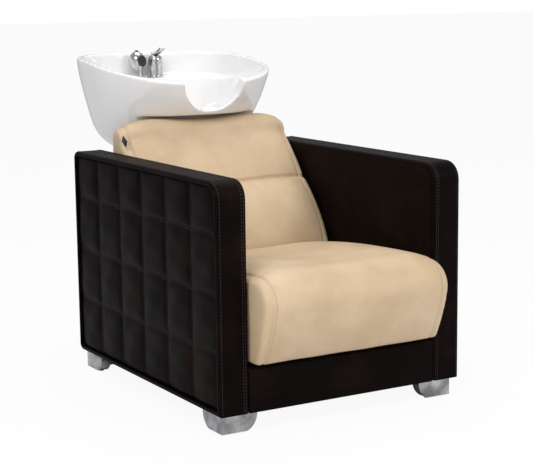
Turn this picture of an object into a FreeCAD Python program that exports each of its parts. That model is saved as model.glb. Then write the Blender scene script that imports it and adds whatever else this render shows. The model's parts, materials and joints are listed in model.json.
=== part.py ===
import FreeCAD, Part
import math
import os

# Salon backwash armchair with a tilting ceramic basin. Millimetres, +X to the sitter's left,
# +Y towards the basin, +Z up. Lengths along Y are first measured from the front plane of the
# arms, and every solid is then moved so that the origin is the middle of the footprint.

# Overall sizes
width = 730.0
arm_depth = 850.0
arm_bottom = 52.0
arm_top = 630.0
arm_thickness = 88.0
basin_rear = 1144.0
seat_overhang = 88.0

# Clearances and general values
gap = 0.3
overrun = 40.0
running = 0.05

# Arms
front_radius = 48.0
rear_radius = 20.0
band_skin = 12.0
band_round = 8.0
band_inset = 2.0
quilt_thickness = 16.0
inner_skin = 8.0
quilt_columns = 6
quilt_row_shares = [0.26, 0.26, 0.27, 0.21]
groove_depth = 6.0
groove_half = 8.0
quilt_round = 5.0

# Rails, deck and back
rail_height = 117.0
rail_depth = 92.0
rail_skin = 6.0
rail_radius = 18.0
rear_rail_height = 90.0
rear_rail_depth = 30.0
side_rail_height = 28.0
side_rail_width = 30.0
deck_bottom = 144.0
strap_width = 50.0
strap_thickness = 3.0
strap_count = 5
cloth_thickness = 2.0
board_thickness = 15.0
rear_panel_depth = 26.0
rear_panel_top = 560.0
rear_panel_inset = 6.0

# Seat cushion
seat_bottom = deck_bottom + side_rail_height + strap_thickness + gap
seat_rear = 476.0
seat_front_top = 386.0
seat_rear_top = 359.0
seat_nose_height = 325.0
seat_toe_inset = 26.0
seat_crown = 16.0
cushion_side_gap = 5.0

# Backrest cushion
back_foot_y = 482.0
back_foot_z = 338.0
pinch_y = 622.0
pinch_z = 536.0
back_nose_y = 727.0
back_nose_z = 659.0
back_top = 700.0
back_plane = 784.0
back_rear_drop = 84.0
back_heel_y = 596.0
back_heel_z = 310.0
back_crown = 14.0

# Feet, glides and screws
foot_inset = 18.0
foot_length = 100.0
foot_wall = 30.0
foot_toe = 72.0
glide_height = 4.0
glide_radius = 6.0
foot_recess = 1.0
screw_radius = 3.0
screw_length = 24.0

# Base bar, tie rails, column and yoke
bar_y = 718.0
bar_size = 24.0
tie_spacing = 110.0
tie_width = 20.0
column_y = 930.0
column_size = 70.0
column_wall = 3.0
plate_size = 260.0
plate_thickness = 8.0
floor_hole_spacing = 200.0
floor_hole_radius = 5.5
plate_corner = 20.0
yoke_base = 430.0
pivot_z = 560.0
cheek_x = 95.0
cheek_thickness = 6.0
cheek_radius = 24.0
cheek_height_width = 90.0
pivot_radius = 6.0
washer_thickness = 1.5
washer_radius = 14.0
head_thickness = 7.0
head_radius = 10.0
ear_thickness = 5.0
cradle_depth = 110.0
cradle_thickness = 5.0
pad_thickness = 3.0

# Basin
bowl_base = 600.0
saddle_y = 790.0
saddle_z = 724.0
ledge_z = 812.0
basin_wall = 14.0
rim_front_z = 817.0
notch_floor = 736.0
notch_half = 94.0
notch_corner = 42.0
notch_reach = 800.0
drain_y = 930.0
drain_hole = 22.0
pocket_half = 96.0
pocket_front = 1067.0
pocket_rear = 1123.0
pocket_corner = 12.0

# Drain fittings
flange_radius = 38.0
flange_thickness = 2.5
tail_radius = 20.0
tail_wall = 2.0
tail_length = 82.0
lock_nut_radius = 34.0
lock_nut_height = 12.0
strainer_radius = 19.0
strainer_thickness = 2.0
knob_radius = 5.0
knob_height = 10.0

# Taps
tap_y = 1096.0
tap_x = 31.0
tap_shift = -7.0
mixer_flange_radius = 25.5
mixer_flange_height = 5.0
mixer_radius = 22.7
mixer_height = 45.0
cap_height = 24.0
cap_shoulder = 8.0
cap_crown_radius = 8.0
lever_length = 70.0
lever_width = 20.0
lever_thickness = 7.0
lever_rise = 22.0
lever_angle = -95.0
lever_heel = 12.0
lever_tip = 6.0
shank_radius = 14.0
shank_length = 60.0
shank_nut_radius = 19.0
shank_nut_height = 7.0
inlet_radius = 6.0
inlet_bore = 4.0
inlet_spacing = 14.0
inlet_length = 70.0
collar_radius = 25.0
collar_height = 6.0
collar_bore = 13.0
handle_radius = 16.0
handle_height = 24.0
shower_head_radius = 24.0
shower_head_height = 50.0
nozzle_radius = 17.0
nozzle_thickness = 4.0
button_radius = 5.0
button_height = 6.0

# Basin sections: height, front y, rear y and half width of each level
rim_top = 915.0
outer_levels = [
    (bowl_base, 842.0, 1018.0, 118.0), (616.0, 806.0, 1062.0, 168.0), (650.0, 772.0, 1098.0, 206.0),
    (700.0, 722.0, 1122.0, 230.0), (760.0, 676.0, 1136.0, 247.0), (817.0, 650.0, 1142.0, 262.0),
    (rim_top, 628.0, basin_rear, 270.0)]
inner_levels = [
    (626.0, 872.0, 988.0, 74.0), (640.0, 838.0, 1018.0, 124.0), (668.0, 812.0, 1040.0, 168.0),
    (712.0, 800.0, 1052.0, 204.0), (760.0, 752.0, 1056.0, 226.0), (817.0, 696.0, 1058.0, 246.0),
    (rim_top, 656.0, 1060.0, 255.0)]
shelf_levels = [
    (ledge_z, 699.0, basin_rear - 1.35 * basin_wall, 240.0), (rim_top, 656.0, basin_rear - basin_wall, 256.0)]

# Rim line seen from the side, with the tools that cut it
rim_front_drop = 8.0
rim_horn_y = 650.0
rim_middle = (830.0, 858.0, 738.0, 840.0)
rim_rear_end = (basin_rear - 28.0, 889.0, 980.0, 879.0)
rim_tail_y = 1200.0
rim_tail_z = 895.0
rim_tool_top = 1000.0
cut_front = 600.0
cut_reach = 320.0

# Drain seat and strainer holes
seat_z = 626.0
strainer_lip = 4.0
strainer_holes = 10
strainer_hole_radius = 2.5
strainer_hole_ring = 13.0

# Shower stem, head and face
tube_wall = 3.0
collar_clearance = 4.0
stem_depth = 30.0
neck_step = 4.0
head_swell_z = 18.0
head_blend_radius = 5.0
head_blend_z = 5.0
crown_inset = 3.0
crown_drop = 12.0
nozzle_z = 20.0
nozzle_direction = (0.35, -0.9, 0.1)
button_stand = 3.5
stem_clearance = 1.0

half_width = width / 2
inner_face = half_width - arm_thickness
origin_y = (basin_rear - seat_overhang) / 2
seat_half = inner_face - cushion_side_gap
os.makedirs("parts", exist_ok=True)


def vec(x, y, z):
    return FreeCAD.Vector(x, y, z)


def block(x0, x1, y0, y1, z0, z1):
    return Part.makeBox(x1 - x0, y1 - y0, z1 - z0, vec(x0, y0, z0))


def rod(radius, height, x, y, z, axis=None):
    return Part.makeCylinder(radius, height, vec(x, y, z), axis or vec(0, 0, 1))


def tube(outer, bore, height, x, y, z):
    wall = rod(outer, height, x, y, z)
    return wall.cut(rod(bore, height + 2 * overrun, x, y, z - overrun))


def mirrored(shape):
    return shape.mirror(vec(0, 0, 0), vec(1, 0, 0))


def join(shapes):
    first = shapes[0]
    for other in shapes[1:]:
        first = first.fuse(other)
    return first.removeSplitter()


def save(name, shape):
    placed = shape.copy()
    placed.translate(vec(0, -origin_y, 0))
    placed.exportStep("parts/" + name + ".step")


def path_wire(steps, place):
    # Each step is a corner, or a corner with the middle point of the arc that leads to it.
    edges = []
    start = place(*steps[0])
    for step in steps[1:] + steps[:1]:
        end = place(*step[:2])
        if len(step) == 4:
            edges.append(Part.Arc(start, place(*step[2:]), end).toShape())
        else:
            edges.append(Part.makeLine(start, end))
        start = end
    return Part.Wire(edges)


def side_profile(steps, x0, x1):
    wire = path_wire(steps, lambda y, z: vec(x0, y, z))
    return Part.Face(wire).extrude(vec(x1 - x0, 0, 0))


# Arms
def arm_outline(inset):
    y0, y1 = inset, arm_depth - inset
    z0, z1 = arm_bottom + inset, arm_top - inset
    big, small = front_radius - inset, rear_radius - inset
    bend = 1 - math.sqrt(0.5)
    return [(y0, z0), (y0, z1 - big),
            (y0 + big, z1, y0 + big * bend, z1 - big * bend),
            (y1 - small, z1),
            (y1, z1 - small, y1 - small * bend, z1 - small * bend),
            (y1, z0 + small),
            (y1 - small, z0, y1 - small * bend, z0 + small * bend)]


def quilted_panel():
    inset = band_skin + gap
    outer = half_width
    start = outer - quilt_thickness
    panel = side_profile(arm_outline(inset), start, outer)
    face_edges = [e for e in panel.Edges if abs(e.BoundBox.XMin - outer) < gap and e.BoundBox.XLength < gap]
    panel = panel.makeFillet(quilt_round, face_edges)
    y0, y1 = inset, arm_depth - inset
    z0, z1 = arm_bottom + inset, arm_top - inset
    floor = outer - groove_depth
    for column in range(1, quilt_columns):
        y = y0 + (y1 - y0) * column / quilt_columns
        corners = [vec(floor, y, z0 - overrun), vec(outer + gap, y - groove_half, z0 - overrun),
                   vec(outer + gap, y + groove_half, z0 - overrun)]
        wedge = Part.Face(Part.makePolygon(corners + corners[:1]))
        panel = panel.cut(wedge.extrude(vec(0, 0, z1 - z0 + 2 * overrun)))
    level = z0
    for share in quilt_row_shares[:-1]:
        level += (z1 - z0) * share
        corners = [vec(floor, y0 - overrun, level), vec(outer + gap, y0 - overrun, level - groove_half),
                   vec(outer + gap, y0 - overrun, level + groove_half)]
        wedge = Part.Face(Part.makePolygon(corners + corners[:1]))
        panel = panel.cut(wedge.extrude(vec(0, y1 - y0 + 2 * overrun, 0)))
    return panel


def make_arms():
    inside = arm_outline(band_skin)
    band = side_profile(arm_outline(0), inner_face + band_inset, half_width - band_inset)
    rims = [e for e in band.Edges if e.BoundBox.XLength < gap]
    band = band.makeFillet(band_round, rims)
    band = band.cut(side_profile(inside, inner_face - overrun, half_width + overrun))
    shell = arm_outline(band_skin + gap)
    core = side_profile(shell, inner_face + inner_skin + gap, half_width - quilt_thickness - gap)
    lining = side_profile(shell, inner_face, inner_face + inner_skin)
    quilt = quilted_panel()
    for side, turn in (("left", lambda s: s), ("right", mirrored)):
        save(side + "_arm_band", turn(band))
        save(side + "_arm_frame", turn(core))
        save(side + "_inner_panel", turn(lining))
        save(side + "_quilted_panel", turn(quilt))


# Rails, deck, webbing and back
def make_rails():
    reach = inner_face - gap
    top = arm_bottom + rail_height
    bend = 1 - math.sqrt(0.5)
    outline = [(0, arm_bottom), (0, top - rail_radius),
               (rail_radius, top, rail_radius * bend, top - rail_radius * bend),
               (rail_depth, top), (rail_depth, arm_bottom)]
    cover = side_profile(outline, -reach, reach)
    hollow = block(-reach - overrun, reach + overrun, rail_skin, rail_depth + overrun,
                   arm_bottom - overrun, top - rail_skin)
    save("front_rail_cover", cover.cut(hollow))
    core = block(-reach, reach, rail_skin + gap, rail_depth, arm_bottom, top - rail_skin - gap)
    edge = [e for e in core.Edges if e.BoundBox.YMax < rail_skin + 2 * gap and e.BoundBox.ZMin > top - rail_skin - 2 * gap]
    save("front_rail_frame", core.makeFillet(rail_radius - rail_skin, edge))
    rear_y = back_plane - rear_rail_depth
    save("rear_rail", block(-reach, reach, rear_y, back_plane, arm_bottom, arm_bottom + rear_rail_height))
    side = block(reach - side_rail_width, reach, rail_depth + gap, rear_y - gap, deck_bottom, deck_bottom + side_rail_height)
    save("seat_side_rails", Part.makeCompound([side, mirrored(side)]))
    straps = []
    strap_top = deck_bottom + side_rail_height
    pitch = (seat_rear - rail_depth) / strap_count
    for index in range(strap_count):
        y = rail_depth + pitch * (index + 0.5) - strap_width / 2
        straps.append(block(-reach, reach, y, y + strap_width, strap_top, strap_top + strap_thickness))
    save("seat_webbing", Part.makeCompound(straps))
    save("dust_cloth", block(-reach, reach, rail_depth + gap, rear_y - gap,
                             arm_bottom, arm_bottom + cloth_thickness))


def make_back():
    reach = inner_face - gap
    lean = math.atan2(back_plane - back_heel_y, back_top - back_rear_drop - back_heel_z)
    ahead, drop = board_thickness / math.cos(lean), board_thickness / math.sin(lean)
    low_y, low_z = back_heel_y + gap / math.cos(lean), back_heel_z
    high_y, high_z = back_plane - ahead, back_top - back_rear_drop - drop - gap
    board = [(low_y, low_z), (high_y, high_z), (back_plane, high_z), (low_y + ahead, low_z)]
    save("backrest_board", side_profile(board, -reach, reach))
    strut = block(reach - side_rail_width, reach, back_plane - rear_rail_depth, back_plane,
                  arm_bottom + rear_rail_height, high_z - 2 * rear_rail_height)
    save("back_posts", Part.makeCompound([strut, mirrored(strut)]))
    panel = block(-reach, reach, back_plane + gap, back_plane + rear_panel_depth,
                  arm_bottom + rear_panel_inset, rear_panel_top)
    rear_edges = [e for e in panel.Edges if e.BoundBox.YMin > back_plane + rear_panel_inset]
    save("rear_panel", panel.makeFillet(rear_panel_inset, rear_edges))


# Cushions
def seat_section(x, crown):
    rise = seat_crown * crown
    nose = seat_overhang - seat_crown * (1 - crown) / 2
    top_y, top_z = 0, seat_front_top + rise
    mid_y, mid_z = seat_rear / 2, (seat_front_top + seat_rear_top) / 2 + rise * 1.1
    toe_y = -seat_toe_inset
    steps = [(seat_rear, seat_bottom), (seat_rear, seat_rear_top + rise * 0.4),
             (top_y, top_z, mid_y, mid_z),
             (-nose, seat_nose_height, -nose * 0.72, (top_z + seat_nose_height) / 2 + seat_crown * 0.9),
             (toe_y, seat_bottom, -nose * 0.78, (seat_nose_height + seat_bottom) / 2 + seat_crown * 0.5)]
    return path_wire(steps, lambda y, z: vec(x, y, z))


def back_section(x, crown):
    swell = back_crown * crown
    dy, dz = -swell * 0.75, swell * 0.66
    steps = [(back_heel_y, back_heel_z), (back_foot_y + dy * 0.2, back_foot_z),
             (pinch_y + dy * 0.2, pinch_z + dz * 0.2, back_foot_y + 60 / 140 * (pinch_y - back_foot_y) + dy,
              back_foot_z + 0.62 * (pinch_z - back_foot_z) + dz),
             (back_nose_y + dy, back_nose_z + dz,
              pinch_y + 0.46 * (back_nose_y - pinch_y) + dy * 0.8,
              pinch_z + 0.54 * (back_nose_z - pinch_z) + dz * 0.8),
             (back_plane, back_top - 18 + dz, back_nose_y + 24 + dy * 0.4, back_top - 4 + swell),
             (back_plane, back_top - back_rear_drop)]
    return path_wire(steps, lambda y, z: vec(x, y, z))


def make_cushions():
    spread_shares = [-1.0, -0.93, 0.0, 0.93, 1.0]
    crown_shares = [-0.6, 0.2, 1.0, 0.2, -0.6]
    for name, section in (("seat_cushion", seat_section), ("backrest_cushion", back_section)):
        wires = [section(seat_half * s, c) for s, c in zip(spread_shares, crown_shares)]
        save(name, Part.makeLoft(wires, True, False))


# Feet
def foot_plate():
    top, low = arm_bottom, glide_height - foot_recess
    curve = (foot_length + foot_toe) / 2
    steps = [(0, low), (foot_toe, low), (foot_length, top, curve + (foot_length - foot_toe) * 0.3, low + (top - low) * 0.42),
             (0, top)]
    wire = path_wire(steps, lambda a, z: vec(a, 0, z))
    return Part.Face(wire).extrude(vec(0, foot_wall, 0))


def make_feet():
    plate = foot_plate()
    turned = plate.mirror(vec(0, 0, 0), vec(1, -1, 0))
    foot = plate.fuse(turned).removeSplitter()
    centre = foot_wall / 2
    spots = [(centre, centre), (foot_toe - centre / 2, centre), (centre, foot_toe - centre / 2)]
    glides, screws = [], []
    left_x, right_x = -half_width + foot_inset, half_width - foot_inset
    front_y, rear_y = foot_inset, arm_depth - foot_inset
    for name, x, y, sx, sy in (("front_right_foot", left_x, front_y, 1, 1), ("front_left_foot", right_x, front_y, -1, 1),
                               ("rear_right_foot", left_x, rear_y, 1, -1), ("rear_left_foot", right_x, rear_y, -1, -1)):
        body = foot.copy()
        if sx < 0:
            body = body.mirror(vec(0, 0, 0), vec(1, 0, 0))
        if sy < 0:
            body = body.mirror(vec(0, 0, 0), vec(0, 1, 0))
        body.translate(vec(x, y, 0))
        for ax, ay in spots:
            px, py = x + sx * ax, y + sy * ay
            glides.append(rod(glide_radius, glide_height, px, py, 0))
            body = body.cut(rod(glide_radius, glide_height, px, py, 0))
            screws.append(rod(screw_radius, screw_length, px, py, glide_height))
            body = body.cut(rod(screw_radius, arm_bottom, px, py, glide_height))
        save(name, body)
    save("foot_glides", Part.makeCompound(glides))
    save("foot_screws", Part.makeCompound(screws))


# Steel base
def make_base():
    bar_half = half_width - arm_thickness / 2
    z0, z1 = arm_bottom - bar_size, arm_bottom
    bar = block(-bar_half, bar_half, bar_y - bar_size / 2, bar_y + bar_size / 2, z0, z1)
    save("base_crossbar", bar)
    column_front = column_y - column_size / 2
    ties = [block(s * tie_spacing / 2 - tie_width / 2, s * tie_spacing / 2 + tie_width / 2,
                  bar_y + bar_size / 2, column_front, z0, z1) for s in (-0.5, 0.5)]
    save("tie_rails", Part.makeCompound(ties))
    half = plate_size / 2
    plate = block(-half, half, column_y - half, column_y + half, 0, plate_thickness)
    corners = [e for e in plate.Edges if e.BoundBox.ZLength > plate_thickness / 2]
    plate = plate.makeFillet(plate_corner, corners)
    for sx in (-0.5, 0.5):
        for sy in (-0.5, 0.5):
            plate = plate.cut(rod(floor_hole_radius, overrun, sx * floor_hole_spacing,
                                  column_y + sy * floor_hole_spacing, -plate_thickness))
    save("floor_plate", plate)
    outer, inner = column_size / 2, column_size / 2 - column_wall
    column = block(-outer, outer, column_y - outer, column_y + outer, plate_thickness, yoke_base)
    bore = block(-inner, inner, column_y - inner, column_y + inner, -overrun, yoke_base + overrun)
    save("column", column.cut(bore))


def make_yoke():
    reach = cheek_x + cheek_thickness / 2
    depth = cheek_height_width / 2
    base = block(-reach, reach, column_y - depth, column_y + depth, yoke_base, yoke_base + cheek_thickness)
    slope = [(column_y - depth, yoke_base), (column_y - cheek_radius, pivot_z),
             (column_y + cheek_radius, pivot_z, column_y, pivot_z + cheek_radius),
             (column_y + depth, yoke_base)]
    pieces = [base]
    for side in (-1, 1):
        x0 = side * cheek_x - cheek_thickness / 2
        pieces.append(side_profile(slope, x0, x0 + cheek_thickness))
    yoke = join(pieces)
    across = rod(pivot_radius, 4 * cheek_x, -2 * cheek_x, column_y, pivot_z, vec(1, 0, 0))
    save("tilt_yoke", yoke.cut(across))
    bolts, washers, nuts = [], [], []
    inside = cheek_x - cheek_thickness / 2
    outside = cheek_x + cheek_thickness / 2
    pin_start = inside - washer_thickness - ear_thickness - head_radius
    for side in (-1, 1):
        x_axis = vec(side, 0, 0)
        bolts.append(join([rod(pivot_radius, outside - pin_start + head_thickness, side * pin_start, column_y, pivot_z, x_axis),
                           rod(head_radius, head_thickness, side * outside, column_y, pivot_z, x_axis)]))
        ring = rod(washer_radius, washer_thickness - gap, side * (inside - washer_thickness + gap), column_y, pivot_z, x_axis)
        washers.append(ring.cut(rod(pivot_radius, overrun, side * (inside - overrun / 2), column_y, pivot_z, x_axis)))
    save("pivot_bolts", Part.makeCompound(bolts))
    save("friction_washers", Part.makeCompound(washers))


def make_cradle():
    top = bowl_base - pad_thickness
    inside = cheek_x - cheek_thickness / 2 - washer_thickness
    depth = cradle_depth / 2
    plate = block(-inside, inside, column_y - depth, column_y + depth, top - cradle_thickness, top)
    pieces = [plate]
    slope = [(column_y - depth / 2, top - cradle_thickness / 2), (column_y - cheek_radius / 2, pivot_z - cheek_radius / 2),
             (column_y + cheek_radius / 2, pivot_z - cheek_radius / 2, column_y, pivot_z - cheek_radius),
             (column_y + depth / 2, top - cradle_thickness / 2)]
    for side in (-1, 1):
        x0 = side * (inside - ear_thickness / 2) - ear_thickness / 2
        pieces.append(side_profile(slope, x0, x0 + ear_thickness))
    cradle = join(pieces)
    cradle = cradle.cut(rod(pivot_radius + running, 4 * cheek_x, -2 * cheek_x, column_y, pivot_z, vec(1, 0, 0)))
    opening = lock_nut_radius + pad_thickness
    save("cradle", cradle.cut(rod(opening, 3 * overrun, 0, drain_y, top - 2 * overrun)))
    pad = block(-inside, inside, column_y - depth, column_y + depth, top, bowl_base)
    save("cradle_pad", pad.cut(rod(opening, 3 * overrun, 0, drain_y, top - overrun)))


# Basin
def basin_ring(z, front, rear, half):
    # A closed outline, narrow at the neck and square at the rear corners.
    along_shares = [0.0, 0.03, 0.19, 0.44, 0.62, 0.80, 0.955, 1.0]
    across_shares = [0.0, 0.42, 0.83, 0.995, 1.0, 0.955, 0.66, 0.0]
    side = [vec(half * a, front + (rear - front) * s, z) for s, a in zip(along_shares, across_shares)]
    other = [vec(-p.x, p.y, p.z) for p in reversed(side[1:-1])]
    curve = Part.BSplineCurve()
    curve.interpolate(side + other, PeriodicFlag=True)
    return Part.Wire([curve.toShape()])


def make_basin():
    bowl = Part.makeLoft([basin_ring(*level) for level in outer_levels], True, False)
    hollow = Part.makeLoft([basin_ring(*level) for level in inner_levels], True, False)
    shelf = Part.makeLoft([basin_ring(*level) for level in shelf_levels], True, False)
    front, reach = cut_front, cut_reach
    rim = [(front, rim_front_z - rim_front_drop), (rim_horn_y, rim_front_z), rim_middle, rim_rear_end,
           (rim_tail_y, rim_tail_z), (rim_tail_y, rim_tool_top), (front, rim_tool_top)]
    above = side_profile(rim, -reach, reach)
    saddle = block(-reach, reach, front - overrun, saddle_y, bowl_base - overrun, saddle_z)
    soft = [e for e in saddle.Edges if e.BoundBox.YMin > saddle_y - gap and e.BoundBox.ZMin > saddle_z - gap]
    saddle = saddle.makeFillet(notch_corner / 2, soft)
    notch_top = rim_top + overrun
    notch = [(-notch_half, notch_top), (-notch_half, rim_front_z), (notch_half, rim_front_z, 0, notch_floor),
             (notch_half, notch_top)]
    wire = path_wire(notch, lambda x, z: vec(x, front, z))
    neck = Part.Face(wire).extrude(vec(0, notch_reach - front, 0))
    pocket = block(-pocket_half, pocket_half, pocket_front, pocket_rear, bowl_base - overrun, ledge_z - basin_wall)
    pocket_edges = [e for e in pocket.Edges if e.BoundBox.ZLength > overrun]
    pocket = pocket.makeFillet(pocket_corner, pocket_edges)
    for tool in (hollow, shelf, above, saddle, neck, pocket):
        bowl = bowl.cut(tool)
    bowl = bowl.cut(rod(drain_hole, 3 * overrun, 0, drain_y, bowl_base - overrun))
    for side, radius in ((-1, collar_bore + collar_clearance), (1, shank_radius)):
        bowl = bowl.cut(rod(radius, 6 * overrun, side * tap_x + tap_shift, tap_y, ledge_z - 5 * overrun))
    biggest = max(bowl.Solids, key=lambda s: s.Volume)
    save("basin_bowl", biggest)
    return biggest


def shelf_underside(bowl, x):
    # The lower face of the tap shelf at this place, found by a thin probe.
    probe = rod(shank_nut_radius, ledge_z, x, tap_y, 0).common(bowl)
    return probe.BoundBox.ZMin


def make_drain():
    flange = tube(flange_radius, tail_radius - tail_wall, flange_thickness, 0, drain_y, seat_z)
    tail_low = bowl_base - tail_length
    tail = tube(tail_radius, tail_radius - tail_wall, seat_z - tail_low, 0, drain_y, tail_low)
    save("drain_flange", join([flange, tail]))
    nut_top = bowl_base - gap
    save("drain_nut", tube(lock_nut_radius, tail_radius + running, lock_nut_height, 0, drain_y, nut_top - lock_nut_height))
    disc_z = seat_z + flange_thickness
    disc = rod(strainer_radius + strainer_lip, strainer_thickness, 0, drain_y, disc_z)
    for index in range(strainer_holes):
        angle = 2 * math.pi * index / strainer_holes
        hole_x = strainer_hole_ring * math.cos(angle)
        hole_y = drain_y + strainer_hole_ring * math.sin(angle)
        disc = disc.cut(rod(strainer_hole_radius, overrun, hole_x, hole_y, seat_z))
    knob = rod(knob_radius, knob_height, 0, drain_y, disc_z)
    save("strainer", join([disc, knob]))


# Taps
def make_mixer():
    x = tap_x + tap_shift
    body = join([rod(mixer_flange_radius, mixer_flange_height, x, tap_y, ledge_z),
                 rod(mixer_radius, mixer_height, x, tap_y, ledge_z)])
    save("mixer_body", body)
    base = ledge_z + mixer_height + gap
    profile = [(0, base), (mixer_radius, base), (mixer_radius, base + cap_shoulder),
               (cap_crown_radius, base + cap_height, mixer_radius * 0.82, base + cap_shoulder + (cap_height - cap_shoulder) * 0.72),
               (0, base + cap_height)]
    wire = path_wire(profile, lambda r, z: vec(x + r, tap_y, z))
    cap = Part.Face(wire).revolve(vec(x, tap_y, 0), vec(0, 0, 1), 360)
    save("mixer_cap", cap)
    z0 = base + cap_height + gap
    lever_side = [(-lever_heel, z0), (lever_heel, z0), (lever_length, z0 + lever_rise, lever_length / 2, z0 + lever_rise * 0.3),
                  (lever_length - lever_tip / 2, z0 + lever_rise + lever_thickness / 2),
                  (lever_heel / 2, z0 + lever_thickness, lever_length / 2, z0 + lever_rise * 0.3 + lever_thickness),
                  (-lever_heel, z0 + lever_thickness)]
    wire = path_wire(lever_side, lambda a, z: vec(x + a, tap_y - lever_width / 2, z))
    lever = Part.Face(wire).extrude(vec(0, lever_width, 0))
    lever.rotate(vec(x, tap_y, 0), vec(0, 0, 1), lever_angle)
    save("mixer_lever", lever)


def make_shanks(bowl):
    left_x, right_x = tap_shift - tap_x, tap_shift + tap_x
    under = shelf_underside(bowl, right_x)
    low = min(under - shank_nut_height - gap, ledge_z - shank_length)
    shank = rod(shank_radius - gap, ledge_z - low, right_x, tap_y, low)
    save("mixer_shank", shank)
    nut_top = under - gap
    save("mixer_nut", tube(shank_nut_radius, shank_radius - gap + running, shank_nut_height, right_x, tap_y, nut_top - shank_nut_height))
    tails = []
    for side in (-0.5, 0.5):
        tails.append(tube(inlet_radius, inlet_bore, inlet_length, right_x + side * inlet_spacing, tap_y, low - inlet_length))
    save("inlet_tails", Part.makeCompound(tails))
    collar = join([tube(collar_radius, collar_bore, collar_height, left_x, tap_y, ledge_z),
                   tube(collar_bore + tube_wall, collar_bore, ledge_z - low, left_x, tap_y, low)])
    save("shower_collar", collar)
    under_left = shelf_underside(bowl, left_x)
    nut_bore = collar_bore + tube_wall + running
    save("collar_nut", tube(shank_nut_radius, nut_bore, shank_nut_height, left_x, tap_y,
                            under_left - gap - shank_nut_height))


def make_shower():
    x, y = tap_shift - tap_x, tap_y
    base = ledge_z + collar_height + gap
    neck = base + handle_height
    top = neck + shower_head_height
    stem = collar_bore - stem_clearance
    profile = [(0, base - stem_depth), (stem, base - stem_depth), (stem, base), (handle_radius, base),
               (handle_radius, neck - neck_step),
               (shower_head_radius, neck + head_swell_z, handle_radius + head_blend_radius, neck + head_blend_z),
               (cap_crown_radius, top, shower_head_radius - crown_inset, top - crown_drop), (0, top)]
    wire = path_wire(profile, lambda r, z: vec(x + r, y, z))
    shell = Part.Face(wire).revolve(vec(x, y, 0), vec(0, 0, 1), 360)
    face_dir = vec(*nozzle_direction)
    face_dir.normalize()
    face_at = vec(x, y, neck + nozzle_z) + face_dir * (shower_head_radius - nozzle_thickness)
    socket = Part.makeCylinder(nozzle_radius + gap, overrun, face_at, face_dir)
    shell = shell.cut(socket)
    shell = shell.cut(rod(button_radius + gap, overrun, x, y, top - button_height))
    save("hand_shower", shell)
    nozzle = Part.makeCylinder(nozzle_radius, nozzle_thickness, face_at, face_dir)
    save("shower_nozzle", nozzle)
    button_low = top - button_height + button_stand
    save("shower_button", rod(button_radius, button_height + stem_clearance, x, y, button_low))


make_arms()
make_rails()
make_back()
make_cushions()
make_feet()
make_base()
make_yoke()
make_cradle()
basin = make_basin()
make_drain()
make_mixer()
make_shanks(basin)
make_shower()
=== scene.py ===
import json
import math

import bmesh
import bpy
from mathutils import Matrix, Vector
from mathutils.bvhtree import BVHTree


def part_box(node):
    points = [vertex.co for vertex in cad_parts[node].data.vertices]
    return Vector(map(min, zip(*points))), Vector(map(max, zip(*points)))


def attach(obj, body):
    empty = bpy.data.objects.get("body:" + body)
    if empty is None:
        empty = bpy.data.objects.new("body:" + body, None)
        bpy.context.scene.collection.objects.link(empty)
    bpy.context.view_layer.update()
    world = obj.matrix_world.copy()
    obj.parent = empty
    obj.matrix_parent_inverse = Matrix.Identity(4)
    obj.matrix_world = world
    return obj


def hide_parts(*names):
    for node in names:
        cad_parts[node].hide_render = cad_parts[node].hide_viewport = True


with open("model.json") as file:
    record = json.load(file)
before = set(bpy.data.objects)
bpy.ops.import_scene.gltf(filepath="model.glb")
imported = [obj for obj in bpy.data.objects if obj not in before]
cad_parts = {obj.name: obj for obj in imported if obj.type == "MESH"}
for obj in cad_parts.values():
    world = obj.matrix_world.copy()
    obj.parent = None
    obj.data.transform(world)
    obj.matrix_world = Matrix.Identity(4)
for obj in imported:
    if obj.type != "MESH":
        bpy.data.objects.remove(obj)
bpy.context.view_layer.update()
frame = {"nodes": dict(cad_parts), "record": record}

NODES = frame["nodes"]
BODY = {n: b for b, group in frame["record"]["behaviour"]["bodies"].items() for n in group}

# Sizes below are in metres and angles in degrees

# Camera fitted to the photo
PIXEL_WIDTH = 533
SENSOR = 36.0
FOCAL_PIXELS = 1486.2
CAMERA_PLACE = (-2.0182, -3.5974, 1.0901)
CAMERA_YAW = 30.30
CAMERA_PITCH = 9.57
CAMERA_ROLL = -0.71

# Distances and shares too small to count
TINY = 1e-6
MERGE = 0.00002

# Threads
STITCH_LENGTH = 0.0052
STITCH_PITCH = 0.0085
STITCH_RADIUS = 0.0007
STITCH_LIFT_SHARE = 0.4
STITCH_SIDES = 6

# Cushions: mesh, boxing seams and the pulled-in tuck of the backrest
CUSHION_VOXEL = 0.006
CUSHION_ROUNDS = 5
SEAM_DEPTH = 0.0026
SEAM_WIDTH = 0.0045
SIDE_SEAM_INSET = 0.020
SIDE_STITCH_OFFSET = -0.007
SIDE_STITCH_STEPS = 260
UNDERSIDE_NORMAL_Z = -0.85
TUCK_DEPTH = 0.010
TUCK_WIDTH = 0.011
TUCK_INSET = 0.162
TUCK_Z = 0.533
TUCK_SLOPE = (0.55, 0.83)
TUCK_WAVE = 0.004
TUCK_WAVE_RATE = 9.0
TUCK_MIDDLE = 0.02
TUCK_FADE_REACH = 0.16
TUCK_END_SHARE = 0.45
TUCK_SHARPNESS = 1.3
TUCK_FACING = (0.7, 0.4)
TUCK_LEAST_FACING = 0.2
PUCKER_DEPTH = 0.0022
PUCKER_REACH = 0.05
PUCKER_RATE = 62.0
PUCKER_SLANT = 30
PUCKER_SHARPNESS = 4
RIPPLE = 0.0007
RIPPLE_RATES = ((31, 17), (29, 13))

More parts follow.
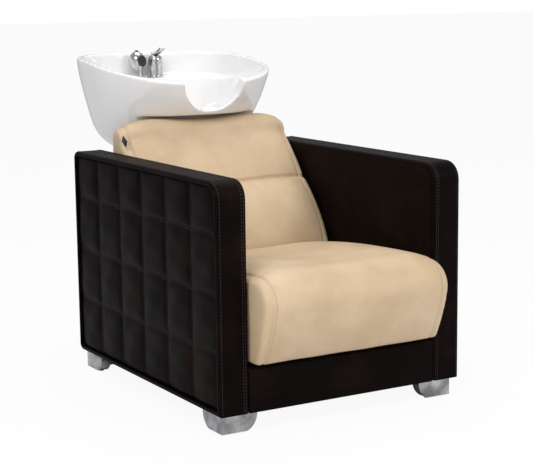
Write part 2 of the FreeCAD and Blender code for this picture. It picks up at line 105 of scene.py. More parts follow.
# Plain tab at the side of the backrest, not touching it
TAB_THICKNESS = 0.0016
TAB_WIDTH = 0.030
TAB_HEIGHT = 0.020
TAB_INSET = 0.084
TAB_Z = 0.664
TAB_TILT = 28
TAB_ROUND = 0.0005
TAB_FACE_INSET = 0.001

# Quilted sides
QUILT_COLUMNS = 6
QUILT_ROW_SHARES = (0.26, 0.26, 0.27, 0.21)
QUILT_ROWS = len(QUILT_ROW_SHARES)
QUILT_FINE = 14
QUILT_DEPTH = 0.010
QUILT_FACE_INSET = 0.0025
QUILT_BACK_GAP = 0.0002
QUILT_FRONT_CORNER = 0.0355
QUILT_REAR_CORNER = 0.0075
QUILT_WOBBLES = (0.0011, 0.0008)
QUILT_WOBBLE_RATES = ((47, 31), (83, 22))
QUILT_EDGE_SHARE = 1e-4
CELL_SLACK_SHARE = 1e-9
QUILT_THREAD_SHARE = 0.72
QUILT_THREAD_INSET = 0.012
QUILT_THREAD_SHIFTS = (-0.0035, 0.0035)
PUFF_ACROSS = 0.42
PUFF_UP = 0.3
PUFF_LOW_SHARE = 0.25
PUFF_EDGE_SHARE = 0.2

# Bands over the arms and leather of the rail and panels
BAND_FRONT_CORNER = 0.048
BAND_REAR_CORNER = 0.020
BAND_CORNER_STEPS = 8
BAND_INNER_ROWS = (0.009, 0.015)
BAND_OUTER_ROW = 0.009
PANEL_ROUND = 0.003
RAIL_ROUND = 0.0003
FOLD_OVERLAP = 0.0006
FOLD_DEPTH = 0.006
FOLD_PLACE = 0.004
FOLD_DROP = 0.002

# Metal, basin and taps
SHARP_EDGE = 35
FLAT_JOINT = 1.0
FOOT_ROUND = 0.0016
METAL_ROUNDS = (("mixer_body", 0.0012), ("mixer_lever", 0.0022), ("shower_collar", 0.0012),
                ("floor_plate", 0.001), ("tilt_yoke", 0.001), ("cradle", 0.001), ("base_crossbar", 0.001))
BASIN_VOXEL = 0.004
BASIN_ROUNDS = 7
BEAD_SIDES = 12
BEAD_STEPS = 48
MIXER_BEAD_Z = 0.006
MIXER_BEAD_INSET = 0.0035
MIXER_BEAD_THICK = 0.0012
CAP_BEAD_Z = 0.0022
CAP_BEAD_INSET = 0.0002
CAP_BEAD_THICK = 0.0009
HOT_MARK_RADIUS = 0.0032
HOT_MARK_SHARES = (0.12, 0.96)
HOT_MARK_Z = 0.0062
HOT_MARK_FLATNESS = 0.5
COLLAR_BEAD_DROP = 0.001
COLLAR_BEAD_RADIUS = 0.0195
COLLAR_BEAD_THICK = 0.0014
NECK_BEAD_Z = 0.0505
NECK_BEAD_RADIUS = 0.0165
NECK_BEAD_THICK = 0.0013

# Floor and surrounding light
FLOOR_SIZE = 40.0
FLOOR_WHITE_SHARE = 0.93
SKY_COLOR = (0.93, 0.95, 1.0, 1)
SKY_STRENGTH = 0.5

# Lamps: name, place, where it points, size and power in watts
LAMPS = (("key", (-2.4, -2.0, 3.0), (0, 0, 0.4), (1.8, 1.8), 70),
         ("front", (1.6, -3.2, 2.2), (0, 0, 0.4), (1.6, 1.8), 42),
         ("top", (0.3, 0.6, 3.2), (0, 0.2, 0.5), (2.0, 2.0), 38))


# Materials
def new_material(name, rough=0.5, metal=0.0, color=(0.5, 0.5, 0.5)):
    made = bpy.data.materials.new(name)
    made.use_nodes = True
    shader = made.node_tree.nodes["Principled BSDF"]
    shader.inputs["Base Color"].default_value = (*color, 1)
    shader.inputs["Roughness"].default_value = rough
    shader.inputs["Metallic"].default_value = metal
    return made, made.node_tree, shader


def noise(tree, scale, detail=4.0, rough=0.5):
    # Cloudy noise on the piece's own coordinates.
    place = tree.nodes.new("ShaderNodeTexCoord")
    texture = tree.nodes.new("ShaderNodeTexNoise")
    texture.inputs["Scale"].default_value = scale
    texture.inputs["Detail"].default_value = detail
    texture.inputs["Roughness"].default_value = rough
    tree.links.new(place.outputs["Object"], texture.inputs["Vector"])
    return texture.outputs["Fac"]


def cells(tree, scale):
    # Rounded cells like the pores of a hide.
    place = tree.nodes.new("ShaderNodeTexCoord")
    texture = tree.nodes.new("ShaderNodeTexVoronoi")
    texture.inputs["Scale"].default_value = scale
    texture.feature = "SMOOTH_F1"
    tree.links.new(place.outputs["Object"], texture.inputs["Vector"])
    return texture.outputs["Distance"]


def ramp(tree, source, stops):
    # Colours along a value, given as places and colours.
    node = tree.nodes.new("ShaderNodeValToRGB")
    node.color_ramp.elements[0].position = stops[0][0]
    node.color_ramp.elements[0].color = (*stops[0][1], 1)
    node.color_ramp.elements[1].position = stops[-1][0]
    node.color_ramp.elements[1].color = (*stops[-1][1], 1)
    for place, color in stops[1:-1]:
        node.color_ramp.elements.new(place).color = (*color, 1)
    tree.links.new(source, node.inputs["Fac"])
    return node.outputs["Color"]


def spread(tree, source, low, high):
    # A value from nothing to one, stretched between two limits.
    node = tree.nodes.new("ShaderNodeMapRange")
    node.inputs["To Min"].default_value = low
    node.inputs["To Max"].default_value = high
    tree.links.new(source, node.inputs["Value"])
    return node.outputs["Result"]


def bump(tree, shader, layers):
    # Layers of relief, each a source with its strength and its distance.
    last = None
    for source, strength, distance in layers:
        node = tree.nodes.new("ShaderNodeBump")
        node.inputs["Strength"].default_value = strength
        node.inputs["Distance"].default_value = distance
        tree.links.new(source, node.inputs["Height"])
        if last:
            tree.links.new(last, node.inputs["Normal"])
        last = node.outputs["Normal"]
    tree.links.new(last, shader.inputs["Normal"])


def leather(name, stops, rough_low, rough_high, mottle, gloss):
    made, tree, shader = new_material(name)
    cloud = noise(tree, mottle, 6.0, 0.62)
    tree.links.new(ramp(tree, cloud, stops), shader.inputs["Base Color"])
    wear = noise(tree, mottle * 2.3)
    tree.links.new(spread(tree, wear, rough_low, rough_high), shader.inputs["Roughness"])
    creases, pores, grain = noise(tree, 26.0), cells(tree, 620.0), noise(tree, 1500.0)
    bump(tree, shader, [(creases, 0.12, 0.004), (pores, 0.22, 0.0006), (grain, 0.12, 0.0003)])
    shader.inputs["Specular IOR Level"].default_value = gloss
    return made


def ceramic_material():
    made, tree, shader = new_material("white_glaze", 0.1)
    tint = ramp(tree, noise(tree, 5.0), [(0.3, (0.83, 0.82, 0.81)), (0.7, (0.86, 0.85, 0.84))])
    tree.links.new(tint, shader.inputs["Base Color"])
    tree.links.new(spread(tree, noise(tree, 40.0), 0.07, 0.12), shader.inputs["Roughness"])
    bump(tree, shader, [(noise(tree, 14.0), 0.05, 0.002)])
    shader.inputs["Coat Weight"].default_value = 0.6
    shader.inputs["Coat Roughness"].default_value = 0.03
    return made


def metal_material(name, color, low, high, scale=30.0, grain=0.02, metallic=1.0, tone_and_reflection_share=0.88):
    # A metal, paint or moulding whose colour and roughness drift over the piece: a little random tone, and
    # on the chrome and the polished foot deep dark streaks that are painted reflections.
    made, tree, shader = new_material(name, low, metallic, color)
    # Darker colour of the streaks: random tone, and painted dark reflections where the share is low, as on
    # the chrome and the polished foot.
    dark = tuple(c * tone_and_reflection_share for c in color)
    tint = ramp(tree, noise(tree, scale), [(0.35, dark), (0.65, color)])
    tree.links.new(tint, shader.inputs["Base Color"])
    tree.links.new(spread(tree, noise(tree, scale * 3), low, high), shader.inputs["Roughness"])
    bump(tree, shader, [(noise(tree, scale * 8), grain, 0.0005)])
    return made


def wood_material():
    made, tree, shader = new_material("frame_timber", 0.65)
    place = tree.nodes.new("ShaderNodeTexCoord")
    rings = tree.nodes.new("ShaderNodeTexWave")
    rings.inputs["Scale"].default_value = 9.0
    rings.inputs["Distortion"].default_value = 6.0
    rings.inputs["Detail"].default_value = 3.0
    tree.links.new(place.outputs["Object"], rings.inputs["Vector"])
    color = ramp(tree, rings.outputs["Fac"], [(0.2, (0.33, 0.21, 0.11)), (0.8, (0.50, 0.35, 0.20))])
    tree.links.new(color, shader.inputs["Base Color"])
    bump(tree, shader, [(rings.outputs["Fac"], 0.15, 0.0006)])
    return made


def woven_material():
    made, tree, shader = new_material("black_webbing", 0.85)
    place = tree.nodes.new("ShaderNodeTexCoord")
    weave = tree.nodes.new("ShaderNodeTexChecker")
    weave.inputs["Scale"].default_value = 420.0
    tree.links.new(place.outputs["Object"], weave.inputs["Vector"])
    color = ramp(tree, weave.outputs["Fac"], [(0.0, (0.012, 0.012, 0.012)), (1.0, (0.03, 0.03, 0.03))])
    tree.links.new(color, shader.inputs["Base Color"])
    bump(tree, shader, [(weave.outputs["Fac"], 0.4, 0.0005)])
    return made


ESPRESSO_STOPS = [(0.28, (0.0020, 0.0009, 0.0009)), (0.5, (0.0042, 0.0019, 0.0017)),
                  (0.74, (0.0110, 0.0048, 0.0040))]
CREAM_STOPS = [(0.25, (0.535, 0.385, 0.235)), (0.5, (0.620, 0.460, 0.292)), (0.75, (0.700, 0.535, 0.358))]
DARK = leather("espresso_leather", ESPRESSO_STOPS, 0.42, 0.56, 9.0, 0.04)
CREAM = leather("cream_leather", CREAM_STOPS, 0.42, 0.56, 7.0, 0.3)
MATERIALS = {
    "dark_leather": DARK,
    "cream_leather": CREAM,
    "ceramic": ceramic_material(),
    # The low shares of the chrome and the polished foot paint dark reflections as streaks in their colour.
    "chrome": metal_material("bright_chrome", (0.70, 0.70, 0.71), 0.05, 0.10, 34.0, 0.02, 1.0, 0.55),
    "polished_foot": metal_material("polished_foot_metal", (0.60, 0.60, 0.61), 0.10, 0.20, 26.0, 0.05, 1.0,
                                    0.42),
    "timber": wood_material(),
    "black_steel": metal_material("black_powder_coat", (0.018, 0.018, 0.018), 0.38, 0.5, 90.0, 0.15, 0.0),
    "zinc_steel": metal_material("zinc_plate", (0.55, 0.55, 0.54), 0.28, 0.4, 60.0, 0.05),
    "brass": metal_material("plain_brass", (0.60, 0.43, 0.18), 0.22, 0.34),
    "rubber": metal_material("black_rubber", (0.018, 0.018, 0.018), 0.7, 0.85, 120.0, 0.2, 0.0),
    "black_plastic": metal_material("black_moulding", (0.015, 0.015, 0.016), 0.3, 0.42, 80.0, 0.08, 0.0),
    "cloth": woven_material(),
}
THREADS = {
    "dark": metal_material("brown_thread", (0.030, 0.018, 0.015), 0.6, 0.7, 300.0, 0.3, 0.0),
    "cream": metal_material("beige_thread", (0.50, 0.37, 0.25), 0.6, 0.7, 300.0, 0.3, 0.0),
}
RED_ENAMEL = metal_material("red_enamel", (0.45, 0.02, 0.015), 0.2, 0.3, 60.0, 0.02, 0.0)
SLOT_OF = {part["node"]: part["material_slot"] for part in frame["record"]["subparts"]}
for node_name, node in NODES.items():
    node.data.materials.clear()
    node.data.materials.append(MATERIALS[SLOT_OF[node_name]])


# Mesh helpers
def finish_mesh(bm, name, material, body, smooth=True):
    mesh = bpy.data.meshes.new(name)
    bm.to_mesh(mesh)
    bm.free()
    piece = bpy.data.objects.new(name, mesh)
    bpy.context.scene.collection.objects.link(piece)
    mesh.materials.append(material)
    for face in mesh.polygons:
        face.use_smooth = smooth
    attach(piece, body)
    return piece


def node_bmesh(node):
    bm = bmesh.new()
    bm.from_mesh(NODES[node].data)
    bmesh.ops.remove_doubles(bm, verts=bm.verts, dist=MERGE)
    return bm


def apply_modifiers(piece):
    # Turns the modified shape into the piece's own mesh.
    graph = bpy.context.evaluated_depsgraph_get()
    mesh = bpy.data.meshes.new_from_object(piece.evaluated_get(graph))
    mesh.materials.clear()
    for material in piece.data.materials:
        mesh.materials.append(material)
    piece.modifiers.clear()
    piece.data = mesh


def softened(node, name, voxel, rounds, material):
    # A copy of the solid with a fine even mesh, so that its edges can be rounded.
    piece = finish_mesh(node_bmesh(node), name, material, BODY[node])
    remesh = piece.modifiers.new("even", "REMESH")
    remesh.mode = "VOXEL"
    remesh.voxel_size = voxel
    apply_modifiers(piece)
    bm = bmesh.new()
    bm.from_mesh(piece.data)
    for _ in range(rounds):
        bmesh.ops.smooth_vert(bm, verts=bm.verts, factor=0.5, use_axis_x=True, use_axis_y=True,
                              use_axis_z=True)
    bm.to_mesh(piece.data)
    bm.free()
    for face in piece.data.polygons:
        face.use_smooth = True
    return piece


def rounded_copy(node, name, width, segments, material=None):
    # The same solid with its sharp edges rounded over, or smooth as it is when the width is zero.
    bm = node_bmesh(node)
    if width:
        bmesh.ops.dissolve_limit(bm, angle_limit=math.radians(FLAT_JOINT), verts=bm.verts, edges=bm.edges)
    for edge in bm.edges:
        edge.smooth = edge.calc_face_angle(0.0) < math.radians(SHARP_EDGE)
    piece = finish_mesh(bm, name, material or MATERIALS[SLOT_OF[node]], BODY[node])
    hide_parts(node)
    if not width:
        return
    bevel = piece.modifiers.new("round", "BEVEL")
    bevel.width = width
    bevel.segments = segments
    bevel.limit_method = "ANGLE"
    bevel.angle_limit = math.radians(SHARP_EDGE)
    bevel.harden_normals = True


def add_stitch(bm, place, along, out):
    # One short thread, a thin rod lying on the leather.
    made = bmesh.ops.create_cone(bm, cap_ends=True, segments=STITCH_SIDES, radius1=STITCH_RADIUS,
                                 radius2=STITCH_RADIUS, depth=STITCH_LENGTH)
    turn = along.to_track_quat("Z", "Y").to_matrix().to_4x4()
    lifted = Matrix.Translation(place + out * STITCH_RADIUS * STITCH_LIFT_SHARE)
    bmesh.ops.transform(bm, matrix=lifted @ turn, verts=made["verts"])


def stitch_line(bm, points, normals):
    # Threads laid at an even pitch along a line of surface points.
    carried = 0.0
    for index in range(len(points) - 1):
        start, end = points[index], points[index + 1]
        run = end - start
        length = run.length
        if length < TINY:
            continue
        place = STITCH_PITCH - carried
        while place <= length:
            add_stitch(bm, start + run * (place / length), run.normalized(), normals[index])
            place += STITCH_PITCH
        carried = length - (place - STITCH_PITCH)


# Cushions
def groove(distance, width):
    # A rounded trough, one at its middle and nothing at its edges.
    reach = abs(distance) / width
    return 0.0 if reach >= 1 else 0.5 + 0.5 * math.cos(math.pi * reach)


def tuck_depth(place, normal, tuck):
    # How far the pulled-in tuck and the puckers beside it draw the leather in at a place.
    line_y, line_z = tuck
    wave = TUCK_WAVE * math.sin(place.x * TUCK_WAVE_RATE)
    off = (place.y - line_y) * TUCK_SLOPE[0] + (place.z - line_z - wave) * TUCK_SLOPE[1]
    if -normal.y * TUCK_FACING[0] + normal.z * TUCK_FACING[1] <= TUCK_LEAST_FACING:
        return 0.0
    middle_share = math.exp(-((place.x + TUCK_MIDDLE) / TUCK_FADE_REACH) ** 2)
    fade = TUCK_END_SHARE + (1 - TUCK_END_SHARE) * middle_share
    folds = math.sin(place.x * PUCKER_RATE + off * PUCKER_SLANT) ** PUCKER_SHARPNESS
    pull = math.exp(-(off / PUCKER_REACH) ** 2) * folds
    return TUCK_DEPTH * fade * groove(off, TUCK_WIDTH) ** TUCK_SHARPNESS + PUCKER_DEPTH * pull * fade


def ripple(place):
    # The slight unevenness of stuffing under leather, between minus one and one.
    (rate_x, rate_y), (rate_z, rate_back) = RIPPLE_RATES
    along = math.sin(place.x * rate_x + place.y * rate_y)
    return along * math.sin(place.z * rate_z - place.x * rate_back)


def dress_cushion(node, name, tuck=None):
    # A stuffed leather cushion over the solid, with grooves along its seams.
    low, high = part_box(node)
    piece = softened(node, name, CUSHION_VOXEL, CUSHION_ROUNDS, CREAM)
    seam_x = high.x - SIDE_SEAM_INSET
    bm = bmesh.new()
    bm.from_mesh(piece.data)
    bmesh.ops.subdivide_edges(bm, edges=bm.edges, cuts=1, use_grid_fill=True, smooth=0.0)
    bm.normal_update()
    moves = []
    for vert in bm.verts:
        place, normal = vert.co, vert.normal
        depth = SEAM_DEPTH * groove(abs(place.x) - seam_x, SEAM_WIDTH) * (1 - abs(normal.x) ** 2)
        if tuck:
            depth += tuck_depth(place, normal, tuck)
        moves.append((vert, normal * (-depth + RIPPLE * ripple(place))))
    for vert, move in moves:
        vert.co += move
    bm.to_mesh(piece.data)
    bm.free()
    for face in piece.data.polygons:
        face.use_smooth = True
    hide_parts(node)
    side_stitches(piece, name + "_stitches", seam_x, low, high, BODY[node])


def side_stitches(piece, name, seam_x, low, high, body):
    # A row of thread beside each boxing seam, found by casting inwards on the finished cushion.
    tree = BVHTree.FromObject(piece, bpy.context.evaluated_depsgraph_get())
    bm = bmesh.new()
    middle = (low + high) / 2
    for side in (-1, 1):
        points, normals = [], []
        for index in range(SIDE_STITCH_STEPS + 1):
            angle = 2 * math.pi * index / SIDE_STITCH_STEPS
            away = Vector((0, math.cos(angle), math.sin(angle)))
            start = Vector((side * (seam_x + SIDE_STITCH_OFFSET), middle.y, middle.z)) + away
            place, normal, _, _ = tree.ray_cast(start, -away)
            if place is None or normal.z < UNDERSIDE_NORMAL_Z:
                stitch_line(bm, points, normals)
                points, normals = [], []
                continue
            points.append(place)
            normals.append(normal)
        stitch_line(bm, points, normals)
    threads = finish_mesh(bm, name, THREADS["cream"], body)


def make_side_tab(low, high):
    # A plain tab level with the face of the backrest's boxing. It stands clear in front of the leather.
    spot = Matrix.Translation((low.x + TAB_FACE_INSET, high.y - TAB_INSET, TAB_Z))
    turn = Matrix.Rotation(math.radians(TAB_TILT), 4, "X")
    size = Matrix.Diagonal((TAB_THICKNESS, TAB_WIDTH, TAB_HEIGHT, 1.0))
    bm = bmesh.new()
    made = bmesh.ops.create_cube(bm, size=1.0)
    bmesh.ops.transform(bm, matrix=spot @ turn @ size, verts=made["verts"])
    bmesh.ops.bevel(bm, geom=bm.edges[:], offset=TAB_ROUND, segments=2, affect="EDGES", profile=0.5,
                    material=-1)
    tab = finish_mesh(bm, "plain_side_tab", MATERIALS["black_plastic"], "root")


def make_cushions():
    dress_cushion("seat_cushion", "seat_pad")
    low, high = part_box("backrest_cushion")
    dress_cushion("backrest_cushion", "backrest_pad", tuck=(high.y - TUCK_INSET, TUCK_Z))
    make_side_tab(low, high)


# Arms
def corner_limit(y, z, low, high, front, rear):
    # Brings a point of the side face inside the rounded outline of the arm.
    for cy, cz, radius, sy, sz in ((low.y + front, high.z - front, front, -1, 1),
                                   (high.y - rear, high.z - rear, rear, 1, 1),
                                   (high.y - rear, low.z + rear, rear, 1, -1)):
        dy, dz = y - cy, z - cz
        if dy * sy > 0 and dz * sz > 0:
            big = max(abs(dy), abs(dz))
            scale = big / math.hypot(dy, dz) * min(1.0, radius / big)
            return cy + dy * scale, cz + dz * scale
    return y, z


def cell_place(share, edges):
    # How far along its own cell a share of the whole lies.
    for index in range(len(edges) - 1):
        if share <= edges[index + 1] + CELL_SLACK_SHARE:
            return (share - edges[index]) / (edges[index + 1] - edges[index])
    return 1.0


def quilt_edges():
    columns = [index / QUILT_COLUMNS for index in range(QUILT_COLUMNS + 1)]
    rows = [0.0]
    for share in QUILT_ROW_SHARES:
        rows.append(rows[-1] + share)
    return columns, rows


def puff_height(across, up, columns, rows):
    # The stuffing's height in a cell, lowest at its seams and one in its middle.
    swell_across = abs(math.sin(math.pi * cell_place(across, columns))) ** PUFF_ACROSS
    swell_up = abs(math.sin(math.pi * cell_place(up, rows))) ** PUFF_UP
    if up < QUILT_EDGE_SHARE or up > 1 - QUILT_EDGE_SHARE:
        return swell_across * PUFF_EDGE_SHARE
    return swell_across * (PUFF_LOW_SHARE + (1 - PUFF_LOW_SHARE) * swell_up)


def quilt_wobble(y, z):
    # Small unevenness of the hand-stuffed cells.
    (long_y, long_z), (short_z, short_y) = QUILT_WOBBLE_RATES
    long_wave = QUILT_WOBBLES[0] * math.sin(y * long_y + z * long_z)
    return long_wave + QUILT_WOBBLES[1] * math.sin(z * short_z - y * short_y)


def make_quilt(side):
    node = side + "_quilted_panel"
    low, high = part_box(node)
    sign = 1 if side == "left" else -1
    outer = high.x if sign > 0 else low.x
    face_x = outer - sign * QUILT_FACE_INSET
    columns, rows = quilt_edges()
    fine_columns, fine_rows = QUILT_COLUMNS * QUILT_FINE, QUILT_ROWS * QUILT_FINE
    bm = bmesh.new()
    bmesh.ops.create_grid(bm, x_segments=fine_columns, y_segments=fine_rows, size=0.5)
    for vert in bm.verts:
        across, even = vert.co.x + 0.5, (vert.co.y + 0.5) * QUILT_ROWS
        row = min(int(even + TINY), QUILT_ROWS - 1)
        up = rows[row] + (even - row) * (rows[row + 1] - rows[row])
        height = puff_height(across, up, columns, rows)
        y = low.y + across * (high.y - low.y)
        z = low.z + up * (high.z - low.z)
        wobble = quilt_wobble(y, z)
        y, z = corner_limit(y, z, low, high, QUILT_FRONT_CORNER, QUILT_REAR_CORNER)
        vert.co = Vector((face_x - sign * QUILT_DEPTH * (1 - height) + sign * wobble * height, y, z))
    back = bmesh.ops.extrude_face_region(bm, geom=bm.faces[:])
    flat = outer - sign * (high.x - low.x - QUILT_BACK_GAP)
    for vert in [e for e in back["geom"] if isinstance(e, bmesh.types.BMVert)]:
        vert.co.x = flat
    bmesh.ops.recalc_face_normals(bm, faces=bm.faces)
    piece = finish_mesh(bm, side + "_quilted_leather", DARK, "root")
    smooth = piece.modifiers.new("smooth", "SUBSURF")
    smooth.levels = 1
    smooth.render_levels = 1
    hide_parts(node)
    quilt_threads(side, low, high, face_x - sign * QUILT_DEPTH * QUILT_THREAD_SHARE, sign, rows)


def quilt_threads(side, low, high, x, sign, rows):
    # A row of thread on each side of the level seams.
    bm = bmesh.new()
    out = Vector((sign, 0, 0))
    for edge in rows[1:-1]:
        z = low.z + edge * (high.z - low.z)
        for shift in QUILT_THREAD_SHIFTS:
            ends = [Vector((x, low.y + QUILT_THREAD_INSET, z + shift)),
                    Vector((x, high.y - QUILT_THREAD_INSET, z + shift))]
            stitch_line(bm, ends, [out, out])
    threads = finish_mesh(bm, side + "_quilt_stitches", THREADS["dark"], "root")


def band_line(low, high):
    # The arm's outline in the side view, with its large front corner, as a run of points.
    front, rear = BAND_FRONT_CORNER, BAND_REAR_CORNER
    points = [Vector((0, low.y, low.z))]
    for centre_y, centre_z, radius, start in ((low.y + front, high.z - front, front, 180),
                                              (high.y - rear, high.z - rear, rear, 90)):
        for step in range(BAND_CORNER_STEPS + 1):
            angle = math.radians(start - 90 * step / BAND_CORNER_STEPS)
            y, z = centre_y + radius * math.cos(angle), centre_z + radius * math.sin(angle)
            points.append(Vector((0, y, z)))
    points.append(Vector((0, high.y, low.z)))
    return points


def make_band(side):
    node = side + "_arm_band"
    low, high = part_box(node)
    rounded_copy(node, side + "_band_leather", 0, 0, DARK)
    line = band_line(low, high)
    normals = []
    for index in range(len(line)):
        ahead, behind = line[min(index + 1, len(line) - 1)], line[max(index - 1, 0)]
        run = (ahead - behind).normalized()
        normals.append(Vector((0, -run.z, run.y)))
    inner, outer, toward = (low.x, high.x, 1) if side == "left" else (high.x, low.x, -1)
    rows = [inner + toward * inset for inset in BAND_INNER_ROWS] + [outer - toward * BAND_OUTER_ROW]
    bm = bmesh.new()
    for x in rows:
        stitch_line(bm, [Vector((x, point.y, point.z)) for point in line], normals)
    threads = finish_mesh(bm, side + "_band_stitches", THREADS["dark"], "root")


def rail_ends():
    # A fold of leather closes the joint between each end of the rail and the arm.
    low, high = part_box("front_rail_cover")
    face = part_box("left_arm_band")[0].x
    bm = bmesh.new()
    for sign in (-1, 1):
        made = bmesh.ops.create_cube(bm, size=1.0)
        size = Matrix.Diagonal((face - high.x + FOLD_OVERLAP, FOLD_DEPTH, high.z - low.z - FOLD_DROP, 1.0))
        place = Matrix.Translation((sign * (face + high.x) / 2, low.y + FOLD_PLACE, (low.z + high.z) / 2))
        bmesh.ops.transform(bm, matrix=place @ size, verts=made["verts"])
    folds = finish_mesh(bm, "rail_end_folds", DARK, "root", smooth=False)


def make_arms():
    for side in ("left", "right"):
        make_quilt(side)
        make_band(side)
        rounded_copy(side + "_inner_panel", side + "_lining_leather", PANEL_ROUND, 3, DARK)
    rail_ends()
    rounded_copy("front_rail_cover", "rail_leather", RAIL_ROUND, 1, DARK)
    rounded_copy("rear_panel", "rear_leather", PANEL_ROUND, 3, DARK)


# Metal
def make_metal():
    for place in ("front_left", "front_right", "rear_left", "rear_right"):
        rounded_copy(place + "_foot", place + "_foot_casting", FOOT_ROUND, 3)
    for node, width in METAL_ROUNDS:
        rounded_copy(node, node + "_finished", width, 2)


# Basin and taps
def make_basin():
    piece = softened("basin_bowl", "basin_glazed", BASIN_VOXEL, BASIN_ROUNDS, MATERIALS["ceramic"])
    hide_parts("basin_bowl")


def bead(name, centre, radius, thick, body):
    # A round chrome bead about an upright axis.
    bm = bmesh.new()
    circle = bmesh.ops.create_circle(bm, segments=BEAD_SIDES, radius=thick)
    turn = Matrix.Translation((radius, 0, 0)) @ Matrix.Rotation(math.radians(90), 4, "X")
    bmesh.ops.transform(bm, matrix=turn, verts=circle["verts"])
    bmesh.ops.spin(bm, geom=bm.verts[:] + bm.edges[:], cent=(0, 0, 0), axis=(0, 0, 1), angle=2 * math.pi,
                   steps=BEAD_STEPS, use_merge=True)
    bmesh.ops.remove_doubles(bm, verts=bm.verts, dist=TINY)
    bmesh.ops.recalc_face_normals(bm, faces=bm.faces)
    bmesh.ops.transform(bm, matrix=Matrix.Translation(centre), verts=bm.verts)
    piece = finish_mesh(bm, name, MATERIALS["chrome"], body)


def make_hot_mark(centre, cap_low, cap_radius):
    # A small red dot let into the front of the mixer's cap.
    spot = Vector((centre.x - cap_radius * HOT_MARK_SHARES[0], centre.y - cap_radius * HOT_MARK_SHARES[1],
                   cap_low.z + HOT_MARK_Z))
    flat = Matrix.Diagonal((1, HOT_MARK_FLATNESS, 1, 1))
    bm = bmesh.new()
    made = bmesh.ops.create_uvsphere(bm, u_segments=16, v_segments=10, radius=HOT_MARK_RADIUS)
    bmesh.ops.transform(bm, matrix=Matrix.Translation(spot) @ flat, verts=made["verts"])
    dot = finish_mesh(bm, "hot_mark", RED_ENAMEL, "mixer_cap")


def make_taps():
    low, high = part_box("mixer_body")
    centre = (low + high) / 2
    radius = (high.x - low.x) / 2
    bead("mixer_base_bead", Vector((centre.x, centre.y, low.z + MIXER_BEAD_Z)), radius - MIXER_BEAD_INSET,
         MIXER_BEAD_THICK, "basin")
    cap_low, cap_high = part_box("mixer_cap")
    cap_radius = (cap_high.x - cap_low.x) / 2
    bead("mixer_cap_bead", Vector((centre.x, centre.y, cap_low.z + CAP_BEAD_Z)), cap_radius - CAP_BEAD_INSET,
         CAP_BEAD_THICK, "mixer_cap")
    make_hot_mark(centre, cap_low, cap_radius)
    low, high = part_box("shower_collar")
    middle = (low + high) / 2
    bead("collar_bead", Vector((middle.x, middle.y, high.z - COLLAR_BEAD_DROP)), COLLAR_BEAD_RADIUS,
         COLLAR_BEAD_THICK, "basin")
    low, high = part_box("hand_shower")
    middle = (low + high) / 2
    bead("shower_neck_bead", Vector((middle.x, middle.y, low.z + NECK_BEAD_Z)), NECK_BEAD_RADIUS,
         NECK_BEAD_THICK, "hand_shower")


# Camera, floor and lights
def make_camera():
    yaw, pitch, roll = (math.radians(a) for a in (CAMERA_YAW, CAMERA_PITCH, CAMERA_ROLL))
    ahead = Vector((math.sin(yaw) * math.cos(pitch), math.cos(yaw) * math.cos(pitch), -math.sin(pitch)))
    right = Vector((math.cos(yaw), -math.sin(yaw), 0))
    up = right.cross(ahead)
    turned_right = right * math.cos(roll) + up * math.sin(roll)
    turned_up = up * math.cos(roll) - right * math.sin(roll)
    data = bpy.data.cameras.new("view")
    data.sensor_width = SENSOR
    data.sensor_fit = "HORIZONTAL"
    data.lens = SENSOR * FOCAL_PIXELS / PIXEL_WIDTH
    camera = bpy.data.objects.new("view", data)
    basis = Matrix((turned_right, turned_up, -ahead)).transposed().to_4x4()
    camera.matrix_world = Matrix.Translation(CAMERA_PLACE) @ basis
    bpy.context.scene.collection.objects.link(camera)
    bpy.context.scene.camera = camera


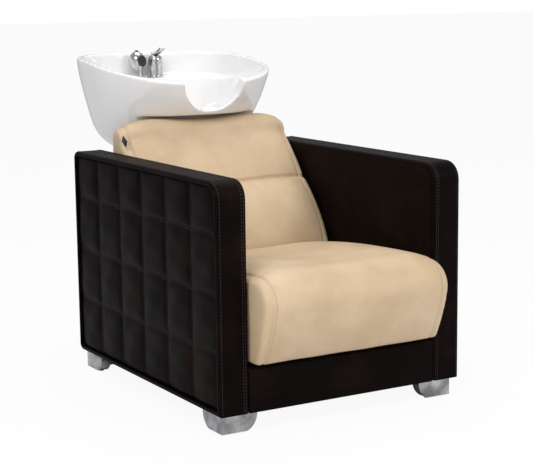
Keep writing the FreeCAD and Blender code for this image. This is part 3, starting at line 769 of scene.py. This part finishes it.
def floor_material():
    made, tree, shader = new_material("pale_floor", 0.9, 0.0, (0.82, 0.82, 0.82))
    shader.inputs["Specular IOR Level"].default_value = 0.0
    tint = ramp(tree, noise(tree, 1.5), [(0.3, (0.81, 0.81, 0.81)), (0.7, (0.83, 0.83, 0.83))])
    tree.links.new(tint, shader.inputs["Base Color"])
    seen = tree.nodes.new("ShaderNodeLightPath")
    share = tree.nodes.new("ShaderNodeMath")
    share.operation = "MULTIPLY"
    share.inputs[1].default_value = FLOOR_WHITE_SHARE
    tree.links.new(seen.outputs["Is Camera Ray"], share.inputs[0])
    white = tree.nodes.new("ShaderNodeEmission")
    mix = tree.nodes.new("ShaderNodeMixShader")
    tree.links.new(share.outputs[0], mix.inputs["Fac"])
    tree.links.new(shader.outputs[0], mix.inputs[1])
    tree.links.new(white.outputs[0], mix.inputs[2])
    tree.links.new(mix.outputs[0], tree.nodes["Material Output"].inputs["Surface"])
    return made


def white_world():
    world = bpy.data.worlds.new("studio")
    bpy.context.scene.world = world
    world.use_nodes = True
    tree = world.node_tree
    seen = tree.nodes.new("ShaderNodeLightPath")
    either = tree.nodes.new("ShaderNodeMath")
    either.operation = "MAXIMUM"
    tree.links.new(seen.outputs["Is Camera Ray"], either.inputs[0])
    tree.links.new(seen.outputs["Is Transmission Ray"], either.inputs[1])
    soft = tree.nodes["Background"]
    soft.inputs["Color"].default_value = SKY_COLOR
    soft.inputs["Strength"].default_value = SKY_STRENGTH
    white = tree.nodes.new("ShaderNodeBackground")
    white.inputs["Color"].default_value = (1, 1, 1, 1)
    white.inputs["Strength"].default_value = 1.0
    mix = tree.nodes.new("ShaderNodeMixShader")
    tree.links.new(either.outputs[0], mix.inputs["Fac"])
    tree.links.new(soft.outputs[0], mix.inputs[1])
    tree.links.new(white.outputs[0], mix.inputs[2])
    tree.links.new(mix.outputs[0], tree.nodes["World Output"].inputs["Surface"])


def lamp(name, place, target, size, power):
    data = bpy.data.lights.new(name, "AREA")
    data.shape = "RECTANGLE"
    data.size, data.size_y = size
    data.energy = power
    holder = bpy.data.objects.new(name, data)
    holder.location = place
    holder.rotation_euler = (Vector(target) - Vector(place)).to_track_quat("-Z", "Y").to_euler()
    bpy.context.scene.collection.objects.link(holder)


def make_studio():
    bm = bmesh.new()
    bmesh.ops.create_grid(bm, x_segments=1, y_segments=1, size=FLOOR_SIZE)
    mesh = bpy.data.meshes.new("floor")
    bm.to_mesh(mesh)
    bm.free()
    floor = bpy.data.objects.new("floor", mesh)
    bpy.context.scene.collection.objects.link(floor)
    mesh.materials.append(floor_material())
    white_world()
    for settings in LAMPS:
        lamp(*settings)
    bpy.context.scene.view_settings.view_transform = "Standard"


make_camera()
make_cushions()
make_arms()
make_metal()
make_basin()
make_taps()
make_studio()
